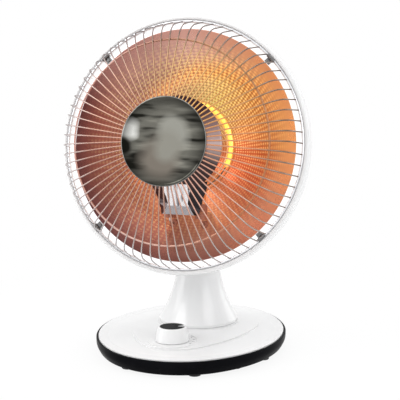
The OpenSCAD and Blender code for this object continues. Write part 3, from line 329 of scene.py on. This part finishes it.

# Polished sheet with the lamp's light and the room painted in as reflection, shade and glow, and a white
# flange that also has a painted glow. Each band is a reach in metres from the dish's axis, and the tones
# there by shares of a turn
dishLook = {
    "bands": {
        0.056: [(0.0, (0.42, 0.08, 0.03)), (0.10, (0.56, 0.24, 0.07)), (0.2, (0.80, 0.54, 0.14)),
                (0.3, (0.68, 0.42, 0.20)), (0.42, (0.60, 0.33, 0.20)), (0.55, (0.60, 0.26, 0.15)),
                (0.75, (0.56, 0.20, 0.10)), (0.9, (0.44, 0.09, 0.04)), (1.0, (0.38, 0.07, 0.025))],
        0.084: [(0.0, (0.43, 0.14, 0.05)), (0.12, (0.56, 0.29, 0.08)), (0.2, (0.66, 0.40, 0.13)),
                (0.3, (0.66, 0.41, 0.27)), (0.42, (0.58, 0.27, 0.19)), (0.55, (0.53, 0.19, 0.12)),
                (0.7, (0.44, 0.15, 0.09)), (0.8, (0.54, 0.22, 0.125)), (0.93, (0.42, 0.10, 0.045)),
                (1.0, (0.40, 0.11, 0.035))],
        0.108: [(0.0, (0.56, 0.29, 0.11)), (0.12, (0.58, 0.31, 0.13)), (0.25, (0.66, 0.39, 0.32)),
                (0.36, (0.62, 0.34, 0.28)), (0.45, (0.43, 0.135, 0.10)), (0.6, (0.34, 0.12, 0.09)),
                (0.70, (0.23, 0.08, 0.06)), (0.78, (0.46, 0.21, 0.15)), (0.9, (0.50, 0.24, 0.16)),
                (1.0, (0.54, 0.27, 0.12))],
        0.127: [(0.0, (0.60, 0.32, 0.15)), (0.12, (0.56, 0.28, 0.15)), (0.25, (0.62, 0.35, 0.29)),
                (0.36, (0.46, 0.22, 0.19)), (0.44, (0.14, 0.048, 0.045)), (0.6, (0.13, 0.05, 0.048)),
                (0.70, (0.11, 0.045, 0.04)), (0.79, (0.30, 0.13, 0.10)), (0.88, (0.44, 0.21, 0.15)),
                (1.0, (0.60, 0.32, 0.15))],
    },
    "back": (0.48, 0.48, 0.49),
    "faceBlend": 0.03,
    "flange": {"from": 0.1283, "to": 0.1287, "colour": (0.86, 0.86, 0.87), "glow": (1.0, 1.0, 1.0)},
    # How strongly the dish's painted glow shines
    "strength": 0.50,
    "mirror": 0.88,
    "grain": (60, 3, (1, 1, 1)),
    "rough": (0.238, 0.336),
    "cells": {
        "round": 108,
        "pitch": 0.0062,
        "tone": (1.0, 0.72, 0.30),
        "gapTone": (0.24, 0.05, 0.02),
        "gapShare": 0.7,
        "edge": (0.05, 0.75),
        "fade": (0.090, 0.120),
        "share": [(0.0, (0.34,) * 3), (0.06, (0.5,) * 3), (0.13, (0.90,) * 3), (0.3, (0.85,) * 3),
                  (0.42, (0.55,) * 3), (0.55, (0.34,) * 3), (0.8, (0.16,) * 3), (0.9, (0.22,) * 3),
                  (1.0, (0.34,) * 3)],
    },
}


# A painted reflection of the wires and their mirror image, which cross in fine cells, bright inside and
# painted shade between
def addCells(tree, tone, turn, reach, look):
    around = mathOf(tree, "MULTIPLY", turn, look["round"] * math.pi)
    outward = mathOf(tree, "MULTIPLY", reach, 2 * math.pi / look["pitch"])
    one = mathOf(tree, "SINE", mathOf(tree, "ADD", around, outward))
    other = mathOf(tree, "SINE", mathOf(tree, "SUBTRACT", around, outward))
    cell = mathOf(tree, "MULTIPLY", one, other)
    fade = rangeOf(tree, reach, 1, 0, *look["fade"])
    share = mathOf(tree, "MULTIPLY", rampOf(tree, turn, look["share"], smooth=False), fade)
    near, far = look["edge"]
    bright = mathOf(tree, "MULTIPLY", rangeOf(tree, cell, 0, 1, near, far), share)
    dim = mathOf(tree, "MULTIPLY", rangeOf(tree, cell, 0, look["gapShare"], -near, -far), share)
    return mixOf(tree, dim, mixOf(tree, bright, tone, look["tone"]), look["gapTone"])


# One on surfaces that face forward along the dish's axis, and nought on those that face back
def frontShare(tree, blend):
    axis = (0, -math.cos(headLean), math.sin(headLean))
    along = vectorOf(tree, "DOT_PRODUCT", placeOf(tree, "Normal"), axis)
    return rangeOf(tree, along, 0, 1, -blend, blend)


def makeDishMaterial(look):
    mat, tree, shader = newMaterial("dishPaintedLight")
    space = headSpace(tree)
    turn = turnOf(tree, space)
    reach = reachOf(tree, space)
    bands = list(look["bands"].items())
    tone = rampOf(tree, turn, bands[0][1], smooth=False)
    for (inner, _), (outer, tones) in zip(bands, bands[1:]):
        share = rangeOf(tree, reach, 0, 1, inner, outer)
        tone = mixOf(tree, share, tone, rampOf(tree, turn, tones, smooth=False))
    tone = addCells(tree, tone, turn, reach, look["cells"])
    flange = rangeOf(tree, reach, 0, 1, look["flange"]["from"], look["flange"]["to"])
    face = frontShare(tree, look["faceBlend"])
    # The painted reflection and shade, with the flange's own tone over it
    lit = mixOf(tree, flange, tone, look["flange"]["colour"])
    setMetal(tree, shader, mixOf(tree, face, look["back"], lit), look)
    # The same tones shine on the front as painted glow, and the flange has a painted white glow
    glow = mixOf(tree, flange, tone, look["flange"]["glow"])
    tree.links.new(mixOf(tree, face, (0, 0, 0), glow), shader.inputs["Emission Color"])
    setInputs(shader, {"Emission Strength": look["strength"]})
    setRoughness(tree, shader, noiseOf(tree, look["grain"]), look["rough"])
    return mat


materials["dishPaintedLight"] = makeDishMaterial(dishLook)
print("disc and dish finishes made")

# Plated wire with a painted reflection and painted glow of the dish round its middle, and a painted
# reflection
# of the room nearer its ends: each ramp runs round
wireLook = {
    "inner": [(0.0, (0.66, 0.31, 0.16)), (0.12, (0.68, 0.39, 0.14)), (0.24, (0.46, 0.28, 0.14)),
              (0.34, (0.40, 0.23, 0.16)), (0.5, (0.42, 0.24, 0.19)), (0.75, (0.48, 0.30, 0.24)),
              (0.9, (0.64, 0.38, 0.30)), (1.0, (0.66, 0.31, 0.16))],
    "outer": [(0.0, (0.24, 0.17, 0.13)), (0.2, (0.22, 0.17, 0.15)), (0.32, (0.24, 0.18, 0.17)),
              (0.5, (0.60, 0.54, 0.53)), (0.75, (0.60, 0.57, 0.56)), (0.9, (0.48, 0.40, 0.36)),
              (1.0, (0.24, 0.17, 0.13))],
    "change": (0.090, 0.120),
    "grain": (120, 3, (1, 1, 1)),
    "rough": (0.192, 0.288),
    "glow": 0.12,
    "mirror": 0.85,
}

# The middle ring lies over the dish all the way round, so its painted reflection and painted glow of the dish
# go all the way round
middleRingLook = {
    "inner": [(0.0, (0.40, 0.17, 0.08)), (0.15, (0.46, 0.24, 0.12)), (0.27, (0.34, 0.17, 0.12)),
              (0.40, (0.52, 0.30, 0.26)), (0.55, (0.48, 0.28, 0.24)), (0.70, (0.66, 0.44, 0.38)),
              (0.79, (0.50, 0.27, 0.20)), (0.88, (0.36, 0.14, 0.07)), (1.0, (0.40, 0.17, 0.08))],
    "grain": (120, 3, (1, 1, 1)),
    "rough": (0.208, 0.312),
    "glow": 0.30,
    "mirror": 0.8,
}


def makeWireMaterial(name, look):
    mat, tree, shader = newMaterial(name)
    space = headSpace(tree)
    turn = turnOf(tree, space)
    # The tones are a painted reflection, and the inner ones also shine as painted glow
    tone = glow = rampOf(tree, turn, look["inner"], smooth=False)
    if "outer" in look:
        outward = rangeOf(tree, reachOf(tree, space), 0, 1, *look["change"])
        tone = mixOf(tree, outward, glow, rampOf(tree, turn, look["outer"], smooth=False))
        glow = mixOf(tree, outward, glow, (0, 0, 0))
    setMetal(tree, shader, tone, look)
    tree.links.new(glow, shader.inputs["Emission Color"])
    setInputs(shader, {"Emission Strength": look["glow"]})
    setRoughness(tree, shader, noiseOf(tree, look["grain"]), look["rough"])
    return mat


materials["wireChrome"] = makeWireMaterial("wireChrome", wireLook)
materials["middleChrome"] = makeWireMaterial("middleChrome", middleRingLook)
print("guard finishes made")

# The lead cover is bright on its front with painted streaks of reflection, has painted shade on its lip, and
# a painted reflection of the dish on its two bevels
coverLook = {
    "front": (0.94, 0.93, 0.95),
    "streak": (0.16, 0.15, 0.17),
    "streakEnds": (0.36, 0.5),
    "grain": (60, 2, (6, 1, 0.5)),
    # Painted shade on the lip
    "lip": {"from": -0.0665, "to": -0.0675, "colour": (0.42, 0.41, 0.43)},  # measured up the dish's face
    # The two bevels' tones are painted reflection and shade
    "left": (0.15, 0.12, 0.12),
    "right": (0.035, 0.03, 0.032),
    "bevel": (0.12, 0.26),
    "rough": (0.16, 0.24),
    "mirror": 1.0,
}


def makeCoverMaterial(look):
    mat, tree, shader = newMaterial("coverSheet")
    facing = splitOf(tree, placeOf(tree, "Normal"))
    streaks = noiseOf(tree, look["grain"])
    stops = list(zip(look["streakEnds"], (look["streak"], look["front"])))
    tone = rampOf(tree, streaks.outputs["Fac"], stops)
    lip = look["lip"]
    low = rangeOf(tree, splitOf(tree, headSpace(tree))["Y"], 0, 1, lip["from"], lip["to"])
    tone = mixOf(tree, low, tone, lip["colour"])
    start, end = look["bevel"]
    tone = mixOf(tree, rangeOf(tree, facing["X"], 0, 1, -start, -end), tone, look["left"])
    tone = mixOf(tree, rangeOf(tree, facing["X"], 0, 1, start, end), tone, look["right"])
    setMetal(tree, shader, tone, look)
    setRoughness(tree, shader, streaks, look["rough"])
    return mat


materials["coverSheet"] = makeCoverMaterial(coverLook)

# The hood's rolled edge has painted reflection and shade, dim at its top and pale on its right, and a painted
# glow
hoodLook = {
    "tones": [(0.0, (0.60, 0.47, 0.46)), (0.07, (0.30, 0.20, 0.20)), (0.14, (0.06, 0.03, 0.035)),
              (0.25, (0.05, 0.03, 0.035)), (0.6, (0.10, 0.07, 0.07)), (0.86, (0.05, 0.035, 0.035)),
              (0.93, (0.07, 0.05, 0.05)), (0.965, (0.32, 0.25, 0.24)), (1.0, (0.60, 0.47, 0.46))],
    "grain": (50, 3, (1, 1, 1)),
    "rough": (0.128, 0.192),
    "glow": 0.42,
    "mirror": 0.5,
}


def makeHoodMaterial(look):
    mat, tree, shader = newMaterial("hoodSheet")
    tone = rampOf(tree, turnOf(tree, headSpace(tree)), look["tones"], smooth=False)
    setMetal(tree, shader, tone, look)
    # The same tones shine as painted glow
    tree.links.new(tone, shader.inputs["Emission Color"])
    setInputs(shader, {"Emission Strength": look["glow"]})
    setRoughness(tree, shader, noiseOf(tree, look["grain"]), look["rough"])
    return mat


materials["hoodSheet"] = makeHoodMaterial(hoodLook)
print("lead cover and hood finishes made")

# The lamp's ring is hot all round but for its two cool ends at the bottom, here in shares of a turn
lampHeat = {"coolFrom": 0.563, "coolTo": 0.937, "coolBlend": 0.012, "hotBlend": 0.004}


def hotShare(tree, heat):
    middle = (heat["coolFrom"] + heat["coolTo"]) / 2
    half = (heat["coolTo"] - heat["coolFrom"]) / 2
    off = mathOf(tree, "ABSOLUTE", mathOf(tree, "SUBTRACT", turnOf(tree, headSpace(tree)), middle))
    return rangeOf(tree, off, 0, 1, half - heat["coolBlend"], half + heat["hotBlend"])


filamentLook = {"core": (0.82, 0.60, 0.13), "edge": (0.78, 0.54, 0.10), "cool": (0.05, 0.03, 0.02),
                "grain": (400, 3, (1, 1, 1)), "rough": 0.6, "strength": 1.0}


def makeFilamentMaterial(look):
    mat, tree, shader = newMaterial("filamentGlow")
    noise = noiseOf(tree, look["grain"])
    hot = wanderOf(tree, noise, look["edge"], look["core"])
    tone = mixOf(tree, hotShare(tree, lampHeat), look["cool"], hot)
    tree.links.new(tone, shader.inputs["Emission Color"])
    tree.links.new(tone, shader.inputs["Base Color"])
    setInputs(shader, {"Emission Strength": look["strength"], "Roughness": look["rough"]})
    return mat


materials["filamentGlow"] = makeFilamentMaterial(filamentLook)

# The tube is clear and glows most where it is seen square on
quartzLook = {
    "clear": (1.0, 0.93, 0.80),
    "hazy": (1.0, 0.86, 0.66),
    "glow": (0.88, 0.50, 0.09),
    "cool": (0.10, 0.03, 0.01),
    "facing": [(0.03, (1, 1, 1)), (0.2, (0.1,) * 3)],
    "facingBlend": 0.5,
    "grain": (90, 3, (1, 1, 1)),
    "rough": (0.03, 0.09),
    "glass": {"Transmission Weight": 1.0, "IOR": 1.46, "Emission Strength": 0.26},
}


def makeQuartzMaterial(look):
    mat, tree, shader = newMaterial("quartz")
    noise = noiseOf(tree, look["grain"])
    tree.links.new(wanderOf(tree, noise, look["clear"], look["hazy"]), shader.inputs["Base Color"])
    setRoughness(tree, shader, noise, look["rough"])
    facing = addNode(tree, "ShaderNodeLayerWeight")
    facing.inputs["Blend"].default_value = look["facingBlend"]
    centre = rampOf(tree, facing.outputs["Facing"], look["facing"])
    glow = mathOf(tree, "MULTIPLY", centre, hotShare(tree, lampHeat))
    tree.links.new(mixOf(tree, glow, look["cool"], look["glow"]), shader.inputs["Emission Color"])
    setInputs(shader, look["glass"])
    return mat


materials["quartz"] = makeQuartzMaterial(quartzLook)
print("lamp finishes made")

# The base cover's white plastic, with plain ticks for the switch's settings to the right of the knob
baseLook = {
    "finish": {"colour": (0.83, 0.83, 0.83), "rough": 0.22, "wander": 1.02, "grain": 12,
               "set": {"Coat Weight": 0.35, "Coat Roughness": 0.08, "IOR": 1.5}},
    "reach": 0.0238,
    "turns": [-14, 6, 26, 46],
    "tick": (0.0013, 0.0006, 0.004),  # half its length, width and height
    "ink": (0.10, 0.10, 0.11),
}


def makeBaseMaterial(look):
    mat = plainMaterial("coverPlastic", look["finish"])
    tree = mat.node_tree
    shader = tree.nodes["Principled BSDF"]
    place = placeOf(tree)
    foot = middleOf("knob")
    foot.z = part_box("knob")[0].z
    marks = None
    for turn in look["turns"]:
        a = math.radians(turn)
        tick = addNode(tree, "ShaderNodeMapping", vector_type="TEXTURE")
        middle = foot + Vector((math.cos(a), math.sin(a), 0)) * look["reach"]
        tick.inputs["Location"].default_value = middle
        tick.inputs["Rotation"].default_value = (0, 0, a)
        tick.inputs["Scale"].default_value = look["tick"]
        tree.links.new(place, tick.inputs["Vector"])
        size = splitOf(tree, vectorOf(tree, "ABSOLUTE", tick.outputs["Vector"]))
        far = mathOf(tree, "MAXIMUM", mathOf(tree, "MAXIMUM", size["X"], size["Y"]), size["Z"])
        inside = mathOf(tree, "LESS_THAN", far, 1.0)  # the tick's box ends at one on each axis
        marks = inside if marks is None else mathOf(tree, "MAXIMUM", marks, inside)
    plain = shader.inputs["Base Color"].links[0].from_socket
    tree.links.new(mixOf(tree, marks, plain, look["ink"]), shader.inputs["Base Color"])
    return mat


materials["coverPlastic"] = makeBaseMaterial(baseLook)

finishOf = {
    "coverPlastic": ["base_cover"],
    "whitePlastic": ["knob", "neck_column", "front_rim"],
    "shadedShellPlastic": ["rear_housing"],
    "blackPlastic": ["base_pan", "knob_cap", "cord_gland"],
    "bearingPlastic": ["thrust_washer", "tip_plunger", "swing_crank", "turntable"],
    "switchPlastic": ["rotary_switch", "tip_switch", "thermal_cutout"],
    "footRubber": ["rubber_feet"],
    "dishPaintedLight": ["reflector"],
    "dullSheet": ["heat_shield", "shield_spacers", "hood_stay", "lamp_bracket"],
    "coverSheet": ["lead_cover"],
    "hoodSheet": ["hood"],
    "guardChrome": ["guard_hub"],
    "wireChrome": ["guard_wires"],
    "middleChrome": ["middle_ring"],
    "ringChrome": ["guard_ring"],
    "discChrome": ["centre_disc"],
    "brightSteel": ["base_screws", "switch_nut", "swing_motor", "motor_screws", "switch_shaft", "neck_screws",
                    "housing_screws", "shield_screws", "shield_nuts", "hood_screws", "lamp_leads",
                    "tilt_bolt", "tilt_nut"],
    "darkSteel": ["ballast_ring", "snap_ring", "tilt_washers"],
    "clipSteel": ["guard_clips", "clip_screws"],
    "quartz": ["lamp_tube"],
    "filamentGlow": ["lamp_filament"],
    "lampCeramic": ["lamp_caps", "lead_bushings"],
    "ceramic": ["terminal_block"],
}
for finish, members in finishOf.items():
    for member in members:
        mesh = nodes[member].data
        mesh.materials.clear()
        mesh.materials.append(materials[finish])
print("finishes set:", sum(len(members) for members in finishOf.values()), "nodes")

# A pale floor that keeps the heater's shadow and turns white away from it
floorLook = {
    "half": 6.0,
    "finish": {"Base Color": (0.93, 0.93, 0.93), "Roughness": 0.9, "Specular IOR Level": 0.1},
    "background": (1, 1, 1),
    "shownNear": 0.86,
    "reach": 0.42,
}


def makeFloor(look):
    mesh = bpy.data.meshes.new("floor")
    h = look["half"]
    mesh.from_pydata([(-h, -h, 0), (h, -h, 0), (h, h, 0), (-h, h, 0)], [], [(0, 1, 2, 3)])
    floor = bpy.data.objects.new("floor", mesh)
    bpy.context.scene.collection.objects.link(floor)
    mat, tree, shader = newMaterial("floor")
    setInputs(shader, look["finish"])
    glow = addNode(tree, "ShaderNodeEmission")
    setInputs(glow, {"Color": look["background"]})
    away = vectorOf(tree, "LENGTH", placeOf(tree))
    shown = rangeOf(tree, away, look["shownNear"], 1, 0, look["reach"])
    blend = addNode(tree, "ShaderNodeMixShader")
    tree.links.new(mathOf(tree, "MULTIPLY", seenShare(tree), shown), blend.inputs["Fac"])
    tree.links.new(shader.outputs["BSDF"], blend.inputs[1])
    tree.links.new(glow.outputs["Emission"], blend.inputs[2])
    tree.links.new(blend.outputs["Shader"], tree.nodes["Material Output"].inputs["Surface"])
    mesh.materials.append(mat)


makeFloor(floorLook)
print("floor placed")

# The room that lights the heater softly from above, behind the white background that is seen
worldLook = {
    "background": (1, 1, 1),
    "sky": (0.95, 0.95, 0.96),
    "low": (0.50, 0.51, 0.51),
    "skyFrom": 0.35,
    "skyTo": 0.75,
    "heights": (-0.3, 0.9),
    "strength": 0.72,
}


def makeWorld(look):
    world = bpy.data.worlds.new("studio")
    bpy.context.scene.world = world
    world.use_nodes = True
    tree = world.node_tree
    tree.nodes.clear()
    out = addNode(tree, "ShaderNodeOutputWorld")
    seen = addNode(tree, "ShaderNodeBackground")
    setInputs(seen, {"Color": look["background"], "Strength": 1})
    room = addNode(tree, "ShaderNodeBackground")
    setInputs(room, {"Strength": look["strength"]})
    height = rangeOf(tree, splitOf(tree, placeOf(tree, "Generated"))["Z"], 0, 1, *look["heights"])
    stops = [(0.0, look["low"]), (look["skyFrom"], look["low"]), (look["skyTo"], look["sky"])]
    tree.links.new(rampOf(tree, height, stops), room.inputs["Color"])
    blend = addNode(tree, "ShaderNodeMixShader")
    tree.links.new(seenShare(tree), blend.inputs["Fac"])
    tree.links.new(room.outputs["Background"], blend.inputs[1])
    tree.links.new(seen.outputs["Background"], blend.inputs[2])
    tree.links.new(blend.outputs["Shader"], out.inputs["Surface"])


makeWorld(worldLook)

# Soft round lamps, in metres and watts, that all point at the heater
lightAim = Vector((0, 0, 0.18))
lights = {
    "keyLeft": {"at": (-1.1, -1.0, 1.3), "size": 1.2, "power": 12},
    "fillRight": {"at": (1.4, -0.9, 0.9), "size": 1.2, "power": 7},
    "topSoft": {"at": (0.1, 0.2, 1.7), "size": 1.6, "power": 9.5},
    "backSoft": {"at": (1.1, 1.4, 0.7), "size": 1.2, "power": 4},
    "lowLeft": {"at": (-1.5, -0.6, 0.35), "size": 0.9, "power": 4},
}


def makeLight(name, look):
    data = bpy.data.lights.new(name, "AREA")
    data.shape = "DISK"
    data.size = look["size"]
    data.energy = look["power"]
    lamp = bpy.data.objects.new(name, data)
    bpy.context.scene.collection.objects.link(lamp)
    lamp.location = look["at"]
    lamp.rotation_mode = "QUATERNION"
    lamp.rotation_quaternion = (lightAim - Vector(look["at"])).to_track_quat("-Z", "Y")


for lightName, lightLook in lights.items():
    makeLight(lightName, lightLook)

bpy.context.scene.view_settings.view_transform = "Standard"
print("studio lit")
